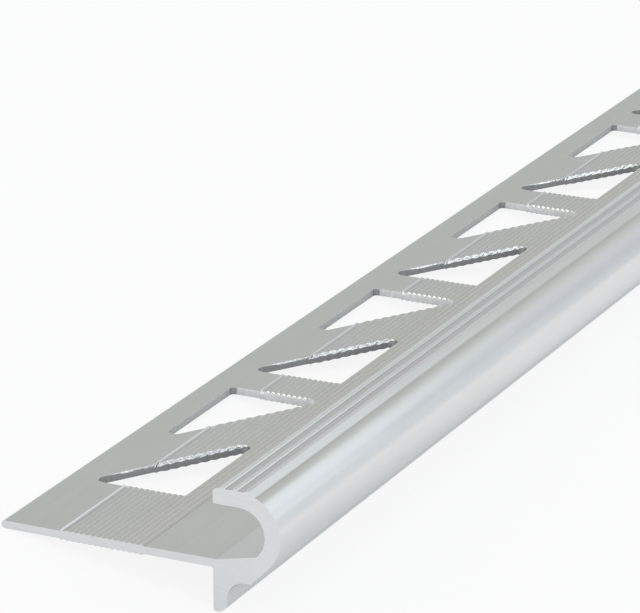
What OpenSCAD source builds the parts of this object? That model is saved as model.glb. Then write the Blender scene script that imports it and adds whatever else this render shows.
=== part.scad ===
// Rounded tile edge trim: one extruded aluminium strip with a punched anchoring flange,
// a drop leg and a hollow rounded nose that ends in a ridged lip.
// It lies as it rests on a level floor, on the flange's tip and the leg's foot.
// Millimetres, +Z up, length along Y, nose towards +X, origin on the floor under the middle.

/* [Stock] */
// Length of the strip
trim_len = 1000; // [300:50:1500]

/* [Flange] */
// Width from the tip to the leg's inner face
flange_w = 29.15; // [26:0.05:36]
// Thickness of the flange
flange_t = 1; // [0.8:0.05:1.4]
// Thickness that the flange grows to at the leg
heel_t = 1.1; // [0.8:0.05:1.4]
// From the tip to the serrated band
band_start = 8.2; // [6:0.1:9]
// Height of the rib at the start of the band
rib_h = 0.24; // [0.15:0.01:0.3]
// Width of that rib
rib_w = 0.4; // [0.3:0.05:0.5]
// From the start of the band to its first tooth
first_tooth = 0.6; // [0.55:0.05:0.9]
// Teeth across the serrated band
tooth_count = 14; // [4:1:16]
// Spacing of the teeth
tooth_pitch = 0.78; // [0.6:0.01:0.9]
// Height of the band's valleys over the plain flange
band_step = 0.05; // [0.03:0.01:0.1]
// Height of the teeth over their valleys
tooth_h = 0.13; // [0.08:0.01:0.2]

/* [Punched holes] */
// From the tip to the holes
hole_left = 4.1; // [3:0.1:6]
// Width of a hole across the flange
hole_w = 12.65; // [8:0.05:14]
// Long side of a hole along the strip
hole_l = 21.5; // [17:0.5:23]
// Short side at the blunt end of the slanted side
hole_short = 1.5; // [1.5:0.1:4]
// Radius of a hole's slanted corners
hole_r = 1; // [0.4:0.05:1]
// Radius of a hole's square corner
square_r = 0.6; // [0.3:0.05:1]
// Spacing of the hole pairs
pair_pitch = 45; // [42:0.5:60]
// From the front end to the first hole
first_hole = 16.6; // [5:0.1:30]
// From the start of a first hole to the start of its second hole
second_hole = 16.5; // [15:0.1:18]
// Least metal left behind the last hole
end_margin = 5; // [3:0.5:15]

/* [Leg] */
// Drop of the leg's foot below the flange
leg_drop = 5.7; // [5.4:0.1:9]
// Thickness of the leg
leg_t = 1.85; // [1.8:0.05:2.4]
// Radius of the foot on the flange side
foot_in_r = 0.35; // [0.2:0.05:0.4]
// Radius of the foot on the nose side
foot_out_r = 1.4; // [0.6:0.05:1.45]
// Fillet between the leg and the nose's underside
leg_fillet = 2.4; // [1:0.1:2.4]
// Fillet between the leg and the flange
heel_fillet = 0.3; // [0.15:0.05:0.5]

/* [Nose] */
// Outer radius of the nose
nose_r = 5.5; // [5:0.05:6.5]
// Wall of the nose and of the lip
nose_wall = 2.05; // [1.6:0.05:2.4]
// From the leg's inner face to the nose's centre
nose_x = 3.45; // [3:0.05:5]
// From the flange's underside to the nose's centre
nose_z = 4.8; // [4.7:0.05:5.5]
// Depth of the nose's underside below the flange's underside
root_drop = 1.4; // [1.1:0.05:1.6]
// Slope of the nose's lower front
chin_deg = 45; // [42:1:48]
// From the leg's inner face to the foot of the sloping floor inside the nose
floor_x = 0.4; // [0.1:0.05:0.8]
// Slope of the floor inside the nose
floor_deg = 12.2; // [10:0.1:14]

/* [Lip] */
// Height of the ridges over the nose
ridge_h = 0.2; // [0.12:0.01:0.35]
// Spacing of the ridges
ridge_pitch = 1.65; // [1.4:0.05:1.7]
// From the lip's end to the first ridge
ridge_start = 1.5; // [1.35:0.05:1.7]
// Level floor of a groove between two ridges
groove_w = 0.8; // [0.6:0.05:0.95]
// Run of a ridge's steep side
ridge_run = 0.1; // [0.06:0.01:0.2]
// Thickness of the lip's end
lip_end_t = 1.65; // [1.3:0.05:1.9]
// Run of the bevel over the lip's end
bevel_run = 0.37; // [0.25:0.01:0.42]
// Rise of the bevel over the lip's end
bevel_rise = 0.35; // [0.2:0.01:0.38]
// From the last ridge to the shoulder over the nose
shoulder_run = 0.65; // [0.55:0.05:0.8]
// Drop from the last ridge to the shoulder's edge
shoulder_drop = 0.5; // [0.4:0.05:0.6]
// Radius under the lip's end
lip_edge_r = 0.3; // [0.15:0.05:0.45]

/* [Hidden] */
$fn = 96;

alloy = [0.76, 0.77, 0.76];
punch_over = 1;
chin_bite = 0.03;

tip_r = flange_t / 2;
bore_r = nose_r - nose_wall;
lip_z = nose_z + bore_r;
land_z = nose_z + nose_r;
ridge_z = land_z + ridge_h;
root_z = -root_drop;
tooth_rise = max(rib_h, band_step + tooth_h);
teeth_start = band_start + first_tooth;
band_end = teeth_start + tooth_count * tooth_pitch;

// The straight lower front of the nose starts just inside its arc and runs down to the underside
chin_r = nose_r - chin_bite;
chin_top = [nose_x + chin_r * sin(chin_deg), nose_z - chin_r * cos(chin_deg)];
chin_foot = [chin_top.x - (chin_top.y - root_z) / tan(chin_deg), root_z];

// The sloping floor inside the nose runs on to the middle of its wall
floor_dir = [cos(floor_deg), sin(floor_deg)];
floor_start = [floor_x, heel_t];
to_nose = [nose_x, nose_z] - floor_start;
floor_mid = to_nose * floor_dir;
wall_mid_r = nose_r - nose_wall / 2;
floor_len = floor_mid + sqrt(pow(floor_mid, 2) - to_nose * to_nose + pow(wall_mid_r, 2));
floor_end = floor_start + floor_len * floor_dir;

// Shoulder at the end of the ridged land, and its foot inside the nose's wall
last_ridge_x = ridge_start + 2 * ridge_pitch;
slope_run = ridge_pitch - ridge_run - groove_w;
shoulder = [last_ridge_x + shoulder_run, ridge_z - shoulder_drop];
shoulder_foot = [shoulder.x, nose_z + sqrt(pow(wall_mid_r, 2) - pow(shoulder.x - nose_x, 2))];

// Tilt at which the flange's tip and the leg's foot both touch the floor
tip_mid = [tip_r, tip_r];
foot_mid = [flange_w + foot_in_r, foot_in_r - leg_drop];
span = foot_mid - tip_mid;
rest_deg = atan2(span.y, span.x) + asin((tip_r - foot_in_r) / norm(span));

// Place of a point of the section once it is tilted
function tilted(p) = [
    p.x * cos(rest_deg) + p.y * sin(rest_deg),
    p.y * cos(rest_deg) - p.x * sin(rest_deg)
];
nose_mid = [flange_w + nose_x, nose_z];
rest_left = tilted(tip_mid).x - tip_r;
rest_right = tilted(nose_mid).x + nose_r;
rest_low = tilted(tip_mid).y - tip_r;

// Holes that fit whole on the strip
first_count = floor((trim_len - first_hole - hole_l - end_margin) / pair_pitch) + 1;
second_start = first_hole + second_hole;
second_count = floor((trim_len - second_start - hole_l - end_margin) / pair_pitch) + 1;

// Edge of the serrated band at a side of the flange, from left to right
function band_edge(level, way) = [
    [band_start, level],
    [band_start + rib_w / 4, level + way * rib_h],
    [band_start + rib_w, level + way * band_step],
    for (i = [0:tooth_count - 1], half = [0, 0.5])
        [teeth_start + (i + half) * tooth_pitch, level + way * (band_step + 2 * half * tooth_h)],
    [band_end, level + way * band_step],
    [band_end, level]
];

function reversed(p) = [for (i = [len(p) - 1:-1:0]) p[i]];

// Corner i of an outline: unit vectors to its neighbours, half angle and tangent length
function side_dir(p, i, j) = (p[j] - p[i]) / norm(p[j] - p[i]);
function before(p, i) = side_dir(p, i, (i + len(p) - 1) % len(p));
function after(p, i) = side_dir(p, i, (i + 1) % len(p));
function half_angle(p, i) = acos(before(p, i) * after(p, i)) / 2;
function tangent_len(p, i, r) = r / tan(half_angle(p, i));
function corner_mid(p, i, r) = let (mid = before(p, i) + after(p, i))
    p[i] + mid / norm(mid) * r / sin(half_angle(p, i));

// Outline with its corners rounded by a list of radii
module rounded_outline(p, r) {
    polygon([
        for (i = [0:len(p) - 1], side = [0, 1])
            p[i] + tangent_len(p, i, r[i]) * (side == 0 ? before(p, i) : after(p, i))
    ]);
    for (i = [0:len(p) - 1])
        translate(corner_mid(p, i, r[i]))
            circle(r = r[i]);
}

// Flange with its round tip and its serrated band, from the tip at x = 0
module flange_outline() {
    polygon(concat(
        [[tip_r, 0]],
        band_edge(0, -1),
        [[flange_w + leg_t, 0], [flange_w + leg_t, heel_t], [flange_w, heel_t]],
        reversed(band_edge(flange_t, 1)),
        [[tip_r, flange_t]]
    ));
    translate(tip_mid)
        circle(r = tip_r);
}

// Leg with its rounded foot and both fillets, from its inner face at x = 0
module leg_outline() {
    polygon([
        [0, foot_in_r - leg_drop],
        [foot_in_r, -leg_drop],
        [leg_t - foot_out_r, -leg_drop],
        [leg_t, foot_out_r - leg_drop],
        [leg_t, 0],
        [0, 0]
    ]);
    translate([foot_in_r, foot_in_r - leg_drop])
        circle(r = foot_in_r);
    translate([leg_t - foot_out_r, foot_out_r - leg_drop])
        circle(r = foot_out_r);
    translate([leg_t, root_z])
        fillet_outline(leg_fillet);
    mirror([1, 0])
        fillet_outline(heel_fillet);
}

// Fill of an inner corner at the origin, to the right of it and below it
module fillet_outline(r) {
    difference() {
        translate([0, -r])
            square(r);
        translate([r, -r])
            circle(r = r);
    }
}

// Round wall of the nose, with the solid root under its sloping floor
module nose_outline() {
    polygon([[0, root_z], chin_foot, chin_top, floor_end, floor_start, [0, heel_t]]);
    translate([nose_x, nose_z])
        difference() {
            intersection() {
                circle(r = nose_r);
                translate([0, -nose_r])
                    square([nose_r, 2 * nose_r]);
            }
            circle(r = bore_r);
        }
}

// Lip with its bevelled end, saw-tooth ridges and shoulder
module lip_outline() {
    polygon(concat(
        [
            [bevel_run, lip_z + lip_end_t + bevel_rise],
            [0, lip_z + lip_end_t],
            [0, lip_z + lip_edge_r],
            [lip_edge_r, lip_z],
            [nose_x, lip_z],
            shoulder_foot,
            shoulder,
            [last_ridge_x, ridge_z]
        ],
        [for (i = [1, 0]) each [
            [ridge_start + i * ridge_pitch + ridge_run + groove_w, land_z],
            [ridge_start + i * ridge_pitch + ridge_run, land_z],
            [ridge_start + i * ridge_pitch, ridge_z]
        ]],
        [[ridge_start - slope_run, land_z]]
    ));
    translate([lip_edge_r, lip_z + lip_edge_r])
        circle(r = lip_edge_r);
}

module section_outline() {
    flange_outline();
    translate([flange_w, 0]) {
        leg_outline();
        nose_outline();
        lip_outline();
    }
}

// Hole with its square corner at the front right, seen from above
module first_hole_outline() {
    rounded_outline([
        [0, 0],
        [hole_w, 0],
        [hole_w, hole_l],
        [0, hole_short]
    ], [hole_r, square_r, hole_r, hole_r]);
}

// The same hole turned half round
module second_hole_outline() {
    translate([hole_w, hole_l])
        rotate(180)
            first_hole_outline();
}

module punched_holes() {
    translate([hole_left, 0, -tooth_rise - punch_over])
        linear_extrude(height = flange_t + 2 * (tooth_rise + punch_over)) {
            for (i = [0:first_count - 1])
                translate([0, first_hole + i * pair_pitch])
                    first_hole_outline();
            for (i = [0:second_count - 1])
                translate([0, second_start + i * pair_pitch])
                    second_hole_outline();
        }
}

module trim_strip() {
    color(alloy)
        translate([-(rest_left + rest_right) / 2, -trim_len / 2, -rest_low])
            rotate([0, rest_deg, 0])
                difference() {
                    translate([0, trim_len, 0])
                        rotate([90, 0, 0])
                            linear_extrude(height = trim_len)
                                section_outline();
                    punched_holes();
                }
}

trim_strip();
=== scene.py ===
"""Looks of the rounded tile edge trim.

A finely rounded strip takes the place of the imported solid, with its metal, the studio and the camera.
"""

import math
from collections import namedtuple

import bmesh
import bpy
from mathutils import Matrix, Vector


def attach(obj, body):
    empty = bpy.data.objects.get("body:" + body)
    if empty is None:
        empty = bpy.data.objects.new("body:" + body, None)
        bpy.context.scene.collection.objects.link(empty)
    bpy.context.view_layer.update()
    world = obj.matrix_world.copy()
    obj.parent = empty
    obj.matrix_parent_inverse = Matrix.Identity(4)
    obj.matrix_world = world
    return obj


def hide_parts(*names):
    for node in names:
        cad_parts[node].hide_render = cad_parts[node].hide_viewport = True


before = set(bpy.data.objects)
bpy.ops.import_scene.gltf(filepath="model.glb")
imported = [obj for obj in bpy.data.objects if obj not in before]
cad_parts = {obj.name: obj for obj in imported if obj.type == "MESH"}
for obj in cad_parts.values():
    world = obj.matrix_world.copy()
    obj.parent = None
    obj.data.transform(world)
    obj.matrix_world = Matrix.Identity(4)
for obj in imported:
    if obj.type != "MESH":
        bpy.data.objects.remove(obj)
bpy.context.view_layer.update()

# Sizes of the strip in millimetres, the same as in the part's source
TRIM_LEN = 1000.0
FLANGE_W, FLANGE_T, HEEL_T = 29.15, 1.0, 1.1
BAND_START, BAND_STEP = 8.2, 0.05
RIB_H, RIB_W, FIRST_TOOTH = 0.24, 0.4, 0.6
TOOTH_COUNT, TOOTH_PITCH = 14, 0.78
HOLE_LEFT, HOLE_W, HOLE_L, HOLE_SHORT = 4.1, 12.65, 21.5, 1.5
HOLE_R, SQUARE_R = 1.0, 0.6
PAIR_PITCH, FIRST_HOLE, SECOND_HOLE, END_MARGIN = 45.0, 16.6, 16.5, 5.0
LEG_DROP, LEG_T, FOOT_IN_R, FOOT_OUT_R = 5.7, 1.85, 0.35, 1.4
LEG_FILLET, HEEL_FILLET = 2.4, 0.3
NOSE_R, NOSE_WALL, NOSE_X, NOSE_Z = 5.5, 2.05, 3.45, 4.8
ROOT_DROP, CHIN_DEG, CHIN_BITE = 1.4, 45.0, 0.03
FLOOR_X, FLOOR_DEG = 0.4, 12.2
RIDGE_COUNT, RIDGE_H, RIDGE_PITCH, RIDGE_START = 3, 0.2, 1.65, 1.5
GROOVE_W, RIDGE_RUN = 0.8, 0.1
LIP_END_T, SHOULDER_RUN, SHOULDER_DROP, LIP_EDGE_R = 1.65, 0.65, 0.5, 0.3
BEVEL_RUN, BEVEL_RISE = 0.37, 0.35

# Sizes that follow from them
TIP_R = FLANGE_T / 2
BORE_R = NOSE_R - NOSE_WALL
LIP_Z = NOSE_Z + BORE_R
LAND_Z = NOSE_Z + NOSE_R
RIDGE_Z = LAND_Z + RIDGE_H
TEETH_START = BAND_START + FIRST_TOOTH
BAND_END = TEETH_START + TOOTH_COUNT * TOOTH_PITCH
HOLE_RIGHT = HOLE_LEFT + HOLE_W
SLOPE = (HOLE_L - HOLE_SHORT) / HOLE_W
SLANT = math.hypot(1, SLOPE)

# Rounded form of the rib: places from its peak, and heights as shares of its own
RIB_FORM = ((-0.045, 0.67), (-0.01, 0.96), (0.035, 0.965), (0.055, 0.89), (0.14, 0.44))
# Where the rib's right side ends, from its peak, and its height over the band there
RIB_END, RIB_END_H = 0.18, 0.006
# Rounded form of a tooth: places from its crest, and heights over the band
TOOTH_FORM = ((-0.09, 0.1), (0.0, 0.118), (0.09, 0.1))

# Small roundings of the outline's corners: chin, end of the nose, shoulder and last crest
CHIN_SOFT, NOSE_SOFT, SHOULDER_SOFT, LAST_SOFT = 0.12, 0.6, 0.3, 0.09
# Right and left end of a land, crest of a ridge, bevel, lip's corner and the floor inside the nose
LAND_SOFT, STEP_SOFT, CREST_SOFT, BEVEL_SOFT, LIP_SOFT, FLOOR_SOFT = 0.12, 0.05, 0.06, 0.12, 0.1, 0.5
# Most of a side that a corner's rounding takes up, and the most degrees between its points
SOFT_SHARE, SOFT_STEP = 0.45, 22

# Edge that the punch rolls over, from the plain face to the wall, in shares of its reach and drop
RIM = ((1.0, 0.0), (0.86, 0.02), (0.66, 0.19), (0.4, 0.48), (0.15, 0.79), (0.0, 1.0))
# The underside keeps a sharp edge, and only the rib is pressed flush there
RIM_UNDER = ((0.4, 0.0), (0.0, 1.0))
# Reach and drop of a rolled edge over the band, and the share of both over the plain flange
Rim = namedtuple("Rim", "reach drop plain")
RIM_SLANT, RIM_BACK, RIM_FRONT = Rim(0.36, 0.42, 0.5), Rim(0.3, 0.3, 0.1), Rim(0.1, 0.1, 0.5)
# Reach and drop at the sides of a hole, and the run over which they grow, from a little inside it
RIM_LEAST, RIM_CLEAR, RIM_GROWTH = 0.02, 0.15, 1.6

# Places beside a hole's sides and the rib at which the flange gets more lines, and their least gap
NEAR_SIDE = (0.04, 0.12, 0.25, 0.45, 0.7, 1.0, 1.25, 1.55, 1.845)
NEAR_RIB, LEAST_GAP = 0.06, 0.02
# Slack in comparing places, in asking where a corner ends, and the digits that tell two points apart
TINY, CORNER_SLACK, DIGITS = 1e-9, 0.01, 5
# Most degrees between two faces that stay smooth, on the rolled rims and elsewhere
ROLLED_TURN, PLAIN_TURN = 50, 14
MM_PER_METRE = 1000

# Kinds of faces, which are material numbers, apart from the last: those rims end up as skin
SKIN, SAWN, SHEARED, SHADED_WALL, LIT_WALL, ROLLED, PLAIN_RIM = range(7)

# The tilt at which the strip lies on its flange's tip and its leg's foot
REST_SPAN = (FLANGE_W + FOOT_IN_R - TIP_R, FOOT_IN_R - LEG_DROP - TIP_R)
TILT = math.atan2(REST_SPAN[1], REST_SPAN[0]) + math.asin((TIP_R - FOOT_IN_R) / math.hypot(*REST_SPAN))


def tilted(x, z):
    """A point of the section, turned to lie as the strip rests."""
    return x * math.cos(TILT) + z * math.sin(TILT), z * math.cos(TILT) - x * math.sin(TILT)


REST_LEFT = tilted(TIP_R, TIP_R)[0] - TIP_R
REST_RIGHT = tilted(FLANGE_W + NOSE_X, NOSE_Z)[0] + NOSE_R
REST_MIDDLE = (REST_LEFT + REST_RIGHT) / 2
REST_LOW = tilted(TIP_R, TIP_R)[1] - TIP_R
# The plane of the flange's underside, as a distance from the frame's origin in metres
UNDERSIDE = -(REST_MIDDLE * math.sin(TILT) + REST_LOW * math.cos(TILT)) / MM_PER_METRE


def placed(x, y, z):
    """A point of the section and its place along the strip, in metres in the shared frame."""
    a, b = tilted(x, z)
    return (a - REST_MIDDLE) / MM_PER_METRE, (y - TRIM_LEN / 2) / MM_PER_METRE, (b - REST_LOW) / MM_PER_METRE


def arc(cx, cz, r, start, end, step):
    """Points on an arc, in degrees, both ends included and at most a step apart."""
    n = max(2, math.ceil(abs(end - start) / step))
    turn = [math.radians(start + (end - start) * i / n) for i in range(n + 1)]
    return [(cx + r * math.cos(t), cz + r * math.sin(t)) for t in turn]


def softened(path):
    """A path of (x, z, r) whose corners with a radius become short arcs."""
    out = []
    for i, (x, z, r) in enumerate(path):
        if r == 0 or i in (0, len(path) - 1):
            out.append((x, z))
            continue
        a, b = path[i - 1], path[i + 1]
        ua, ub = (a[0] - x, a[1] - z), (b[0] - x, b[1] - z)
        la, lb = math.hypot(*ua), math.hypot(*ub)
        ua, ub = (ua[0] / la, ua[1] / la), (ub[0] / lb, ub[1] / lb)
        half = math.acos(max(-1, min(1, ua[0] * ub[0] + ua[1] * ub[1]))) / 2
        t = min(r / math.tan(half), SOFT_SHARE * la, SOFT_SHARE * lb)
        r = t * math.tan(half)
        mx, mz = ua[0] + ub[0], ua[1] + ub[1]
        k = r / math.sin(half) / math.hypot(mx, mz)
        cx, cz = x + mx * k, z + mz * k
        s = math.atan2(z + ua[1] * t - cz, x + ua[0] * t - cx)
        e = math.atan2(z + ub[1] * t - cz, x + ub[0] * t - cx)
        d = (e - s + math.pi) % (2 * math.pi) - math.pi
        n = max(2, math.ceil(abs(math.degrees(d)) / SOFT_STEP))
        out += [(cx + r * math.cos(s + d * j / n), cz + r * math.sin(s + d * j / n)) for j in range(n + 1)]
    return out


def band_profile():
    """Height over the plain flange across its width, from the tip's end to the end of the serrated band."""
    peak = BAND_START + RIB_W / 4
    points = [(TIP_R, 0.0), (BAND_START, 0.0)]
    points += [(peak + x, RIB_H * share) for x, share in RIB_FORM]
    points += [(peak + RIB_END, BAND_STEP + RIB_END_H), (BAND_START + RIB_W, BAND_STEP)]
    for i in range(TOOTH_COUNT):
        valley = TEETH_START + i * TOOTH_PITCH
        crest = valley + TOOTH_PITCH / 2
        points.append((valley, BAND_STEP))
        points += [(crest + x, BAND_STEP + height) for x, height in TOOTH_FORM]
    return points + [(BAND_END, BAND_STEP)]


PROFILE = band_profile()


def rise(x):
    """Height of the flange's faces over the plain flange at a place across it."""
    for (a, p), (b, q) in zip(PROFILE, PROFILE[1:]):
        if x <= b:
            return p + (q - p) * (x - a) / (b - a)
    return PROFILE[-1][1]


def flush(x):
    """How far the rib stands over the band beside it, which the punch presses flush at a hole's edge."""
    return max(0.0, rise(x) - BAND_STEP) if x < TEETH_START else 0.0


def first_low(u, e):
    """Front edge of a first hole at u from its left side, with the outline grown by e."""
    if u < HOLE_R:
        return HOLE_R - math.sqrt(max(0, (HOLE_R + e) ** 2 - (HOLE_R - u) ** 2))
    if u > HOLE_W - SQUARE_R:
        return SQUARE_R - math.sqrt(max(0, (SQUARE_R + e) ** 2 - (u - HOLE_W + SQUARE_R) ** 2))
    return -e


def first_high(u, e):
    """Slanted back edge of a first hole at u from its left side, with the outline grown by e."""
    left, right = HOLE_R, HOLE_W - HOLE_R
    lean = (HOLE_R + e) * SLOPE / SLANT
    for middle, beyond in ((left, u < left - lean), (right, u > right - lean)):
        if beyond:
            base = HOLE_SHORT + SLOPE * middle - HOLE_R * SLANT
            return base + math.sqrt(max(0, (HOLE_R + e) ** 2 - (u - middle) ** 2))
    return HOLE_SHORT + SLOPE * u + e * SLANT


def rim_size(x, rim):
    """Reach and drop of a rolled edge, which is least at the two sides of a hole."""
    inside = min(x - HOLE_LEFT, HOLE_RIGHT - x)
    grow = min(1.0, max(0.0, (inside - RIM_CLEAR) / RIM_GROWTH)) ** 2
    if x < BAND_START:
        grow *= rim.plain
    return [RIM_LEAST + (size - RIM_LEAST) * grow for size in (rim.reach, rim.drop)]


def hole_edges(hole, x, share, drop):
    """Front and back edge of a hole and their drops at a place across the flange, or None beside it."""
    u = x - HOLE_LEFT
    if u < -share * RIM_LEAST - TINY or u > HOLE_W + share * RIM_LEAST + TINY:
        return None
    front, front_drop = rim_size(x, RIM_FRONT)
    back, back_drop = rim_size(x, RIM_BACK if hole.turned else RIM_SLANT)
    if hole.turned:
        low = HOLE_L - first_high(HOLE_W - u, share * front)
        high = HOLE_L - first_low(HOLE_W - u, share * back)
    else:
        low, high = first_low(u, share * front), first_high(u, share * back)
    return hole.start + low, drop * front_drop, hole.start + high, drop * back_drop


Hole = namedtuple("Hole", "start turned")


def all_holes():
    """Every hole by its start along the strip: a first one, then a second one turned half round."""
    out = []
    start = FIRST_HOLE
    while start + HOLE_L + END_MARGIN <= TRIM_LEN + TINY:
        out.append(Hole(start, False))
        if start + SECOND_HOLE + HOLE_L + END_MARGIN <= TRIM_LEN + TINY:
            out.append(Hole(start + SECOND_HOLE, True))
        start += PAIR_PITCH
    return out


HOLES = all_holes()


def flange_lines():
    """Places across the flange at which its faces are drawn."""
    keep = [HOLE_LEFT - s * RIM_LEAST for s, _ in RIM] + [HOLE_RIGHT + s * RIM_LEAST for s, _ in RIM]
    keep += [x for x, _ in PROFILE] + [BAND_START - NEAR_RIB]
    extra = [HOLE_LEFT + d for d in NEAR_SIDE] + [HOLE_RIGHT - d for d in NEAR_SIDE]
    keep += [x for x in extra if all(abs(x - k) > LEAST_GAP for k in keep)]
    return sorted(set(keep))


class Skin:
    """Collects points once each, and faces with their kind."""

    def __init__(self):
        self.points, self.index, self.faces, self.kinds = [], {}, [], []

    def at(self, x, y, z):
        key = (round(x, DIGITS), round(y, DIGITS), round(z, DIGITS))
        if key not in self.index:
            self.index[key] = len(self.points)
            self.points.append(placed(x, y, z))
        return self.index[key]

    def face(self, corners, kind=SKIN):
        ring = [c for i, c in enumerate(corners) if c != corners[i - 1]]
        if len(ring) > 2:
            self.faces.append(ring)
            self.kinds.append(kind)


def zipped(a, b):
    """Faces between two rows of (tag, point), joined where their tags agree, each with its kind."""
    tags_b = {t for t, _ in b}
    i = j = 0
    out = []

    def add(*ends):
        owners = {t[:2] for t, _ in ends}
        kind = SKIN
        if len(owners) == 1 and isinstance(ends[0][0], tuple):
            hole, side = owners.pop()
            kind = ROLLED if side == "back" and not HOLES[hole].turned else PLAIN_RIM
        out.append(([v for _, v in ends], kind))

    while i < len(a) - 1 or j < len(b) - 1:
        na = a[i + 1][0] if i < len(a) - 1 else None
        nb = b[j + 1][0] if j < len(b) - 1 else None
        if na is not None and na == nb:
            add(a[i], b[j], b[j + 1], a[i + 1])
            i, j = i + 1, j + 1
        elif nb is None or (na is not None and na not in tags_b):
            add(a[i], b[j], a[i + 1])
            i += 1
        else:
            add(a[i], b[j], b[j + 1])
            j += 1
    return out


def face_row(skin, x, top):
    """Tagged points along the flange's top or underside at a place across it, with the rims of the holes."""
    high = FLANGE_T + rise(x) if top else -rise(x)
    out = [("start", skin.at(x, 0, high))]
    for n, hole in enumerate(HOLES):
        front, back = [], []
        for share, drop in RIM if top else RIM_UNDER:
            edges = hole_edges(hole, x, share, drop if top else 0.0)
            if edges:
                level = high - drop * flush(x) if top else high + drop * flush(x)
                front.append(((n, "front", share), skin.at(x, edges[0], level - edges[1])))
                back.append(((n, "back", share), skin.at(x, edges[2], level - edges[3])))
        out += front + back[::-1]
    return out + [("end", skin.at(x, TRIM_LEN, high))]


def open_runs(row):
    """The stretches of a row between the holes that it crosses."""
    out, run = [], []
    for tag, point in row:
        run.append((tag, point))
        if tag[1:] == ("front", 0.0):
            out.append(run)
            run = []
    return out + [run]


def crosses_holes(x):
    """Whether a place across the flange lies between the two sides of the holes."""
    return HOLE_LEFT - TINY <= x <= HOLE_RIGHT + TINY


def flange_faces(skin, lines):
    """Top and underside of the flange with its holes, their rolled rims and their walls."""
    tops, lows = [face_row(skin, x, True) for x in lines], [face_row(skin, x, False) for x in lines]
    for i in range(len(lines) - 1):
        is_open = crosses_holes(lines[i]) and crosses_holes(lines[i + 1])
        for rows, flip in ((tops, False), (lows, True)):
            pair = rows[i], rows[i + 1]
            for a, b in zip(*map(open_runs, pair)) if is_open else [pair]:
                for ring, kind in zipped(a, b):
                    skin.face(ring[::-1] if flip else ring, SKIN if flip else kind)
    hole_walls(skin, lines, [dict(row) for row in tops], [dict(row) for row in lows])


def hole_walls(skin, lines, tops, lows):
    """Walls of every hole, from its rolled edge on top to its sharp edge below."""
    inner = [i for i, x in enumerate(lines) if crosses_holes(x)]
    a, b = inner[0], inner[-1]
    for n, hole in enumerate(HOLES):
        front, back = (n, "front", 0.0), (n, "back", 0.0)
        for i in inner[:-1]:
            j = i + 1
            skin.face([tops[i][front], tops[j][front], lows[j][front], lows[i][front]], SHEARED)
            # Painted shade and light: back walls of first holes, the turned holes' back corner at the left
            # and the first holes' left walls take the darker wall copy; the turned holes' straight back walls
            # take the lighter one
            in_shade = not hole.turned or lines[i] < HOLE_LEFT + SQUARE_R - CORNER_SLACK
            wall = [tops[i][back], lows[i][back], lows[j][back], tops[j][back]]
            skin.face(wall, SHADED_WALL if in_shade else LIT_WALL)
        left = [tops[a][front], lows[a][front], lows[a][back], tops[a][back]]
        skin.face(left, SHEARED if hole.turned else SHADED_WALL)
        skin.face([tops[b][front], tops[b][back], lows[b][back], lows[b][front]], SHEARED)


def lip_path(nose):
    """Top of the lip from the end of the nose's arc, over the shoulder and the ridges, to the lip's end."""
    last = FLANGE_W + RIDGE_START + (RIDGE_COUNT - 1) * RIDGE_PITCH
    path = [(*nose[-3], 0), (*nose[-2], NOSE_SOFT), (*nose[-1], SHOULDER_SOFT), (last, RIDGE_Z, LAST_SOFT)]
    for i in reversed(range(RIDGE_COUNT - 1)):
        x = FLANGE_W + RIDGE_START + i * RIDGE_PITCH
        path += [(x + RIDGE_RUN + GROOVE_W, LAND_Z, LAND_SOFT), (x + RIDGE_RUN, LAND_Z, STEP_SOFT)]
        path.append((x, RIDGE_Z, CREST_SOFT))
    path.append((FLANGE_W + RIDGE_START + RIDGE_RUN + GROOVE_W - RIDGE_PITCH, LAND_Z, LAND_SOFT))
    path.append((FLANGE_W + BEVEL_RUN, LIP_Z + LIP_END_T + BEVEL_RISE, BEVEL_SOFT))
    path += [(FLANGE_W, LIP_Z + LIP_END_T, LIP_SOFT), (FLANGE_W, LIP_Z + LIP_EDGE_R, 0)]
    return softened(path)[1:-1]


def nose_path():
    """Outside of the nose, from its chin to the shoulder's foot."""
    x = FLANGE_W + NOSE_X
    start = CHIN_DEG - 90 + math.degrees(math.acos((NOSE_R - CHIN_BITE) / NOSE_R))
    foot_x = FLANGE_W + RIDGE_START + (RIDGE_COUNT - 1) * RIDGE_PITCH + SHOULDER_RUN
    end = math.degrees(math.acos((foot_x - x) / NOSE_R))
    return arc(x, NOSE_Z, NOSE_R, start, end, step=2.5)[:-1] + [(foot_x, RIDGE_Z - SHOULDER_DROP)]


def bore_end():
    """Angle on the bore at which it meets the sloping floor inside the nose, in degrees."""
    floor = math.radians(FLOOR_DEG)
    to = (NOSE_X - FLOOR_X, NOSE_Z - HEEL_T)
    mid = to[0] * math.cos(floor) + to[1] * math.sin(floor)
    run = mid + math.sqrt(mid ** 2 - to[0] ** 2 - to[1] ** 2 + BORE_R ** 2)
    hit = (FLOOR_X + run * math.cos(floor) - NOSE_X, HEEL_T + run * math.sin(floor) - NOSE_Z)
    return math.degrees(math.atan2(hit[1], hit[0]))


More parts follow.
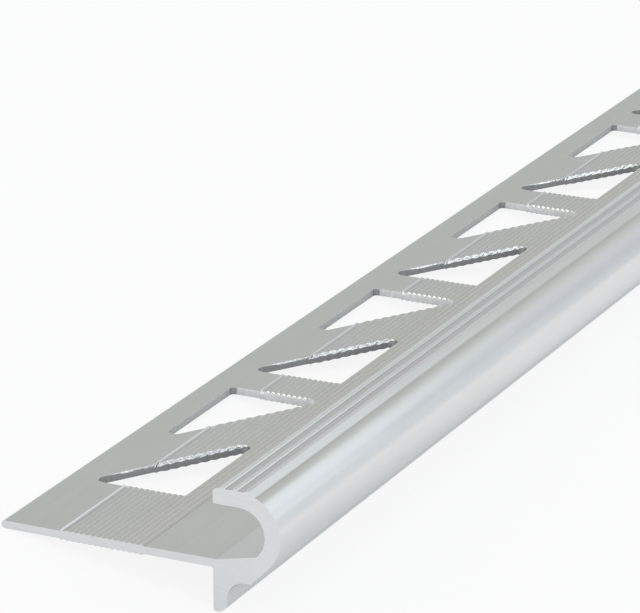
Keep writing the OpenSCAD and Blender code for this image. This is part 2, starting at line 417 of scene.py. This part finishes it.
def right_path():
    """Outline from the band's end on the underside, round the leg and the nose, to its end on top."""
    root = -ROOT_DROP
    nose_x = FLANGE_W + NOSE_X
    out = [(BAND_END, -BAND_STEP), (BAND_END, 0.0)]
    out += arc(FLANGE_W - HEEL_FILLET, -HEEL_FILLET, HEEL_FILLET, 90, 0, step=15)
    out += arc(FLANGE_W + FOOT_IN_R, FOOT_IN_R - LEG_DROP, FOOT_IN_R, 180, 270, step=10)
    out += arc(FLANGE_W + LEG_T - FOOT_OUT_R, FOOT_OUT_R - LEG_DROP, FOOT_OUT_R, 270, 360, step=5)
    out += arc(FLANGE_W + LEG_T + LEG_FILLET, root - LEG_FILLET, LEG_FILLET, 180, 90, step=5)
    chin = math.radians(CHIN_DEG)
    inside = NOSE_R - CHIN_BITE
    chin_x = nose_x + inside * math.sin(chin) - (NOSE_Z - inside * math.cos(chin) - root) / math.tan(chin)
    nose = nose_path()
    out += softened([(*out[-1], 0), (chin_x, root, CHIN_SOFT), (*nose[0], 0)])[1:-1]
    out += nose[:-2] + lip_path(nose)
    out += arc(FLANGE_W + LIP_EDGE_R, LIP_Z + LIP_EDGE_R, LIP_EDGE_R, 180, 270, step=10)
    out += arc(nose_x, NOSE_Z, BORE_R, 90, bore_end(), step=3)
    out += softened([(*out[-1], 0), (FLANGE_W + FLOOR_X, HEEL_T, FLOOR_SOFT), (FLANGE_W, HEEL_T, 0)])[1:]
    return out + [(BAND_END, FLANGE_T), (BAND_END, FLANGE_T + BAND_STEP)]


def strip_mesh():
    """The whole strip as one closed mesh."""
    skin = Skin()
    lines = flange_lines()
    flange_faces(skin, lines)
    rest = right_path()
    tip = arc(TIP_R, TIP_R, TIP_R, 90, 270, step=8)
    for path in (rest, tip):
        for a, b in zip(path, path[1:]):
            ends = ((a, 0), (a, TRIM_LEN), (b, TRIM_LEN), (b, 0))
            skin.face([skin.at(x, y, z) for (x, z), y in ends])
    low = [(x, -rise(x)) for x in lines]
    top = [(x, FLANGE_T + rise(x)) for x in reversed(lines)]
    ring = low + rest[1:-1] + top + tip[1:-1]
    skin.face([skin.at(x, 0, z) for x, z in ring], SAWN)
    skin.face([skin.at(x, TRIM_LEN, z) for x, z in reversed(ring)], SAWN)
    mesh = bpy.data.meshes.new("trim_body")
    mesh.from_pydata(skin.points, [], skin.faces)
    mesh.polygons.foreach_set("material_index", skin.kinds)
    mesh.polygons.foreach_set("use_smooth", [True] * len(skin.faces))
    valleys = {round(TEETH_START + i * TOOTH_PITCH, DIGITS) for i in range(TOOTH_COUNT + 1)}
    sharpened(mesh, {n for (x, _, _), n in skin.index.items() if x in valleys})
    return mesh


def sharpened(mesh, creased):
    """Hard edges where faces turn. Rolled rims stay smooth round the roll, but not along a tooth's valley."""
    form = bmesh.new()
    form.from_mesh(mesh)
    for edge in form.edges:
        faces = edge.link_faces
        rolled = all(f.material_index in (ROLLED, PLAIN_RIM) for f in faces)
        if all(v.index in creased for v in edge.verts):
            rolled = False
        most = math.radians(ROLLED_TURN if rolled else PLAIN_TURN)
        edge.smooth = len(faces) == 2 and edge.calc_face_angle(0.0) < most
    for face in form.faces:
        if face.material_index == PLAIN_RIM:
            face.material_index = SKIN
    form.to_mesh(mesh)
    form.free()


class Nodes:
    """Short names for building a material's or the world's nodes."""

    def __init__(self, tree):
        self.tree = tree
        tree.nodes.clear()

    def add(self, kind, links=None, **values):
        node = self.tree.nodes.new("ShaderNode" + kind)
        for name, value in values.items():
            setattr(node, name, value)
        for key, source in (links or {}).items():
            if hasattr(source, "is_output"):
                self.tree.links.new(source, node.inputs[key])
            else:
                node.inputs[key].default_value = source
        return node

    def ramp(self, source, stops):
        node = self.add("ValToRGB", {"Fac": source})
        elements = node.color_ramp.elements
        while len(elements) < len(stops):
            elements.new(0.5)
        for element, (place, colour) in zip(elements, stops):
            element.position = place
            element.color = (*colour, 1)
        return node.outputs["Color"]

    def math(self, operation, a, b):
        return self.add("Math", {0: a, 1: b}, operation=operation).outputs[0]

    def span(self, source, start, end, low=0.0, high=1.0):
        return self.add("MapRange", {0: source, 1: start, 2: end, 3: low, 4: high}).outputs[0]

    def tinted(self, a, b):
        return self.add("MixRGB", {0: 1.0, 1: a, 2: b}, blend_type="MULTIPLY").outputs[0]

    def axes(self, source):
        return self.add("SeparateXYZ", {"Vector": source}).outputs

    def stretched(self, source, scale, turn=(0.0, 0.0, 0.0)):
        return self.add("Mapping", {"Vector": source, "Rotation": turn, "Scale": scale}).outputs[0]

    def noise(self, source, scale, detail, roughness):
        links = {"Vector": source, "Scale": scale, "Detail": detail, "Roughness": roughness}
        return self.add("TexNoise", links).outputs["Fac"]

    def metal(self, colour, rough, height, strength, distance, metallic=1.0):
        """A metal with fine relief, joined to the material's output."""
        relief = self.add("Bump", {"Height": height, "Strength": strength, "Distance": distance}).outputs[0]
        links = {"Base Color": colour, "Roughness": rough, "Metallic": metallic, "Normal": relief}
        shader = self.add("BsdfPrincipled", links)
        self.add("OutputMaterial", {"Surface": shader.outputs[0]})
        return shader


# The range that noise mostly keeps to
FAINT, STRONG = 0.3, 0.7
# Half of the width that the tint across the strip is spread over, in metres
TINT_HALF = 0.0185
# Tint across the strip, from the flange's tip at 0 to the nose at 1: faint casts of colour, and in the last
# stops painted light that lightens the nose's right side
TINT_AND_PAINTED_LIGHT = (
    (0.0, (0.98, 1.0, 0.975)),
    (0.2, (0.985, 1.0, 0.985)),
    (0.26, (0.995, 0.995, 0.995)),
    (0.4, (1.0, 0.99, 0.955)),
    (0.52, (1.0, 0.985, 0.955)),
    (0.57, (0.995, 0.99, 0.985)),
    (0.955, (0.995, 0.995, 1.0)),
    (0.985, (1.03, 1.03, 1.035)),
)
GLANCING_TINT = (0.85, 0.86, 0.865, 1.0)
# Walls of the holes: name, darkest and lightest colour, and how metallic, in the order of their kinds; the
# second is a darker copy of the first, as painted shade, and the third a lighter copy, as painted light
WALLS = (
    ("sheared_aluminium", (0.53, 0.54, 0.545), (0.66, 0.67, 0.675), 0.55),
    ("wall_painted_shade", (0.335, 0.343, 0.347), (0.45, 0.458, 0.462), 0.75),
    ("wall_painted_light", (0.7, 0.71, 0.715), (0.85, 0.86, 0.865), 0.55),
)
# Painted shade of those walls: the factor at the underside and at the top
WALL_LOW, WALL_HIGH = 0.85, 1.04


def new_material(name):
    """An empty material, and its nodes."""
    material = bpy.data.materials.new(name)
    material.use_nodes = True
    return material, Nodes(material.node_tree)


def skin_material():
    """Satin aluminium as it left the die: fine lengthwise lines, a soft cloudiness, a faint tint across the
    strip and painted light on the nose's right side.
    """
    material, n = new_material("mill_aluminium")
    where = n.add("TexCoord").outputs["Object"]
    along = n.stretched(where, (1.0, 0.012, 1.0))
    lines = n.noise(along, scale=2600.0, detail=3.0, roughness=0.6)
    bands = n.noise(along, scale=420.0, detail=2.0, roughness=0.5)
    cloud = n.noise(where, scale=55.0, detail=3.0, roughness=0.55)
    broad = n.math("ADD", n.math("MULTIPLY", bands, 0.3), n.math("MULTIPLY", cloud, 0.4))
    tone = n.math("ADD", n.math("MULTIPLY", lines, 0.3), broad)
    dark, middle, light = (0.71, 0.717, 0.714), (0.74, 0.745, 0.743), (0.77, 0.773, 0.772)
    metal = n.ramp(tone, [(FAINT, dark), (0.5, middle), (STRONG, light)])
    # Tint by place across the strip, with painted light that lightens the nose's right side
    tint_and_light = n.ramp(n.span(n.axes(where)["X"], -TINT_HALF, TINT_HALF), TINT_AND_PAINTED_LIGHT)
    rough = n.span(tone, FAINT, STRONG, low=0.17, high=0.26)
    shader = n.metal(n.tinted(metal, tint_and_light), rough, lines, strength=0.045, distance=0.00002)
    shader.inputs["Specular Tint"].default_value = GLANCING_TINT
    return material


def rolled_material():
    """Torn and rolled-over metal at the slanted edges of the holes, with small glints."""
    material, n = new_material("rolled_aluminium")
    grain = n.noise(n.add("TexCoord").outputs["Object"], scale=2300.0, detail=2.0, roughness=0.5)
    dark, middle, light = (0.6, 0.605, 0.605), (0.76, 0.765, 0.765), (0.82, 0.825, 0.825)
    colour = n.ramp(grain, [(FAINT, dark), (0.55, middle), (STRONG, light)])
    rough = n.span(grain, FAINT, STRONG, low=0.3, high=0.16)
    n.metal(colour, rough, grain, strength=0.9, distance=0.0001)
    return material


def sawn_material():
    """Sawn and linished ends: fine straight marks across the section."""
    material, n = new_material("sawn_aluminium")
    across = n.stretched(n.add("TexCoord").outputs["Object"], (0.1, 1.0, 1.0), (0.0, 0.5, 0.0))
    marks = n.noise(across, scale=3400.0, detail=3.0, roughness=0.6)
    colour = n.ramp(marks, [(FAINT, (0.72, 0.728, 0.738)), (STRONG, (0.765, 0.773, 0.783))])
    rough = n.span(marks, FAINT, STRONG, low=0.34, high=0.46)
    n.metal(colour, rough, marks, strength=0.08, distance=0.00002)
    return material


def wall_material(name, dark, light, metallic):
    """Walls of the punched holes, scored in the punch's direction, with painted shade that darkens them
    toward the underside and lightens them a little at the top.
    """
    material, n = new_material(name)
    where = n.add("TexCoord").outputs["Object"]
    upward = (math.sin(TILT), 0.0, math.cos(TILT))
    level = n.add("VectorMath", {0: where, 1: upward}, operation="DOT_PRODUCT").outputs["Value"]
    # Painted shade: darker toward the flange's underside, a little lighter at the top
    shade = n.span(level, UNDERSIDE, UNDERSIDE + FLANGE_T / MM_PER_METRE, WALL_LOW, WALL_HIGH)
    marks = n.noise(n.stretched(where, (1.0, 1.0, 0.12)), scale=3000.0, detail=3.0, roughness=0.6)
    colour = n.tinted(n.ramp(marks, [(FAINT, dark), (STRONG, light)]), shade)
    rough = n.span(marks, FAINT, STRONG, low=0.45, high=0.6)
    n.metal(colour, rough, marks, strength=0.25, distance=0.00003, metallic=metallic)
    return material


def make_strip():
    """The strip with its materials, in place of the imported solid."""
    piece = bpy.data.objects.new("trim_body", strip_mesh())
    bpy.context.collection.objects.link(piece)
    walls = [wall_material(*look) for look in WALLS]
    for material in (skin_material(), sawn_material(), *walls, rolled_material()):
        piece.data.materials.append(material)
    normals = piece.modifiers.new("flat_faces", "WEIGHTED_NORMAL")
    normals.keep_sharp = True
    normals.weight = 90
    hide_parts("trim_strip")
    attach(piece, "root")


# Half of the floor's side in metres, its colour, its glow and the share of that glow that shows
FLOOR_HALF, FLOOR_COLOUR, FLOOR_GLOW, GLOW_SHARE = 14.0, (0.9, 0.9, 0.9, 1.0), (1.0, 1.0, 1.0, 1.0), 0.86
# Painted reflection: what the metal sees of the floor's glow is set by place, paler beside the nose, ahead of
# the front end and left of the flange, dimmer under the strip
# Where the floor beside the nose turns pale in the metal, and where the floor ahead of the front end does
BESIDE_X, BESIDE_Y, AHEAD_Y = (0.013, 0.027), (-0.47, -0.4), (-0.5, -0.53)
# Where the floor left of the flange turns pale, where that fades along the strip, and where it returns
LEFT_X, FADE_Y, RETURN_Y = (-0.02, -0.05), (-0.43, -0.37), (-0.33, -0.2)
# Shares of the glow in the metal: under the strip, ahead of it, and where the left floor has faded
UNDER_SHARE, AHEAD_SHARE, FADED_SHARE = 0.5, 0.85, 0.25


def floor_seen(n):
    """How much of its glow the floor shows: all to the camera, and in the metal a share by place, which
    paints paler and dimmer stretches into its reflections.
    """
    path = n.add("LightPath").outputs
    place = n.axes(n.add("NewGeometry").outputs["Position"])
    beside = n.math("MULTIPLY", n.span(place["Y"], *BESIDE_Y), n.span(place["X"], *BESIDE_X))
    ahead = n.span(place["Y"], *AHEAD_Y, UNDER_SHARE, AHEAD_SHARE)
    right = n.math("MAXIMUM", n.span(beside, 0.0, 1.0, UNDER_SHARE, 1.0), ahead)
    faded, returned = n.span(place["Y"], *FADE_Y, 1.0, FADED_SHARE), n.span(place["Y"], *RETURN_Y)
    left = n.math("MULTIPLY", n.span(place["X"], *LEFT_X), n.math("MAXIMUM", faded, returned))
    painted_reflection = n.math("MULTIPLY", path["Is Glossy Ray"], n.math("MAXIMUM", right, left))
    return n.math("MAXIMUM", n.math("MAXIMUM", path["Is Camera Ray"], painted_reflection), path["Is Transmission Ray"])


def make_floor():
    """A wide pale floor that shows white and keeps a soft shadow."""
    mesh = bpy.data.meshes.new("floor")
    corners = [(x * FLOOR_HALF, y * FLOOR_HALF, 0) for x, y in ((-1, -1), (1, -1), (1, 1), (-1, 1))]
    mesh.from_pydata(corners, [], [(0, 1, 2, 3)])
    floor = bpy.data.objects.new("floor", mesh)
    bpy.context.collection.objects.link(floor)
    material, n = new_material("floor")
    share = n.math("MULTIPLY", floor_seen(n), GLOW_SHARE)
    lit = n.add("BsdfDiffuse", {"Color": FLOOR_COLOUR})
    glow = n.add("Emission", {"Color": FLOOR_GLOW, "Strength": 1.0})
    mixed = n.add("MixShader", {0: share, 1: lit.outputs[0], 2: glow.outputs[0]})
    n.add("OutputMaterial", {"Surface": mixed.outputs[0]})
    mesh.materials.append(material)


# The studio's colours by direction, from -1 on the left to 1 on the right
GREY, COOL, DIM = (0.625, 0.635, 0.623), (0.79, 0.815, 0.865), (0.64, 0.67, 0.705)
STUDIO = (
    (-1.0, GREY),
    (-0.4, GREY),
    (-0.2, (0.605, 0.612, 0.602)),
    (-0.08, (0.545, 0.56, 0.54)),
    (0.0, (0.63, 0.66, 0.63)),
    (0.1, (0.7, 0.74, 0.71)),
    (0.24, COOL),
    (0.34, COOL),
    (0.405, DIM),
    (0.435, DIM),
    (0.48, (0.86, 0.9, 0.94)),
    (0.52, (0.86, 0.9, 0.93)),
    (1.0, (0.85, 0.86, 0.88)),
)
# A white stretch low on the left: its colour, and where it grows, downward and leftward
LOW_WHITE, LOW_Z, LOW_X = (1.0, 1.0, 1.02, 1.0), (0.05, 0.015), (0.0, -0.3)


def make_world():
    """A pale studio: grey on the left and white low down there, cool on the right with a dimmer gap."""
    world = bpy.data.worlds.new("studio")
    bpy.context.scene.world = world
    world.use_nodes = True
    n = Nodes(world.node_tree)
    way = n.axes(n.add("TexCoord").outputs["Generated"])
    tone = n.ramp(n.span(way["X"], -1.0, 1.0), [((x + 1) / 2, colour) for x, colour in STUDIO])
    low = n.math("MULTIPLY", n.span(way["Z"], *LOW_Z), n.span(way["X"], *LOW_X))
    glow = n.add("MixRGB", {0: low, 1: tone, 2: LOW_WHITE}).outputs[0]
    light = n.add("Background", {"Color": glow, "Strength": 1.0})
    n.add("OutputWorld", {"Surface": light.outputs[0]})


def add_light(name, place, target, size, power, colour=(1.0, 1.0, 1.0)):
    """A soft lamp that faces its target and does not show itself to the camera."""
    data = bpy.data.lights.new(name, "AREA")
    data.shape = "RECTANGLE"
    data.size, data.size_y = size
    data.energy = power
    data.color = colour
    lamp = bpy.data.objects.new(name, data)
    bpy.context.collection.objects.link(lamp)
    lamp.location = place
    back = (Vector(place) - Vector(target)).normalized()
    lamp.rotation_mode = "QUATERNION"
    lamp.rotation_quaternion = back.to_track_quat("Z", "Y")
    lamp.visible_camera = False


# What the lamps face: the stretch that the photo shows, the nose's side and the rims of the holes
SUBJECT, NOSE_SIDE, RIMS = (0.0, -0.35, 0.0), (0.0428, -0.311, 0.0279), (0.0, -0.4, 0.0)
# Place and faint cast of the lamp beside the nose
SIDE_PLACE, SIDE_COLOUR = (0.0955, -0.311, 0.1129), (0.9, 1.0, 0.99)


def make_lights():
    """Soft lamps over and in front of the strip, a small one beside the nose and one for the holes' rims."""
    add_light("top_light", (-0.25, -1.2, 2.23), SUBJECT, size=(1.2, 1.2), power=6.5)
    add_light("front_light", (-0.95, -2.1, 0.9), SUBJECT, size=(2.0, 1.5), power=7.0)
    add_light("side_light", SIDE_PLACE, NOSE_SIDE, size=(0.105, 0.122), power=0.0131, colour=SIDE_COLOUR)
    add_light("rim_light", (0.694, -0.124, 0.936), RIMS, size=(0.25, 0.25), power=0.26)


# The photo's viewpoint in the shared frame, fitted to the strip's own edges
EYE = (0.18672343, -0.9253697, 0.24241849)
EYE_RIGHT = (0.88420427, 0.43343305, 0.17412237)
EYE_UP = (-0.32155057, 0.29442644, 0.89995461)
EYE_BACK = (0.33880384, -0.85173286, 0.39970375)
# Focal length and sensor's width in millimetres, and the nearest and farthest that it sees in metres
LENS, SENSOR_W, NEAREST, FARTHEST = 242.434, 36.0, 0.05, 60.0


def make_camera():
    """The camera at the photo's viewpoint."""
    data = bpy.data.cameras.new("camera")
    data.sensor_fit = "HORIZONTAL"
    data.sensor_width = SENSOR_W
    data.lens = LENS
    data.clip_start, data.clip_end = NEAREST, FARTHEST
    camera = bpy.data.objects.new("camera", data)
    bpy.context.collection.objects.link(camera)
    turn = Matrix((EYE_RIGHT, EYE_UP, EYE_BACK)).transposed().to_4x4()
    camera.matrix_world = Matrix.Translation(EYE) @ turn
    bpy.context.scene.camera = camera


make_camera()
make_strip()
make_floor()
make_world()
make_lights()
bpy.context.scene.view_settings.view_transform = "Standard"
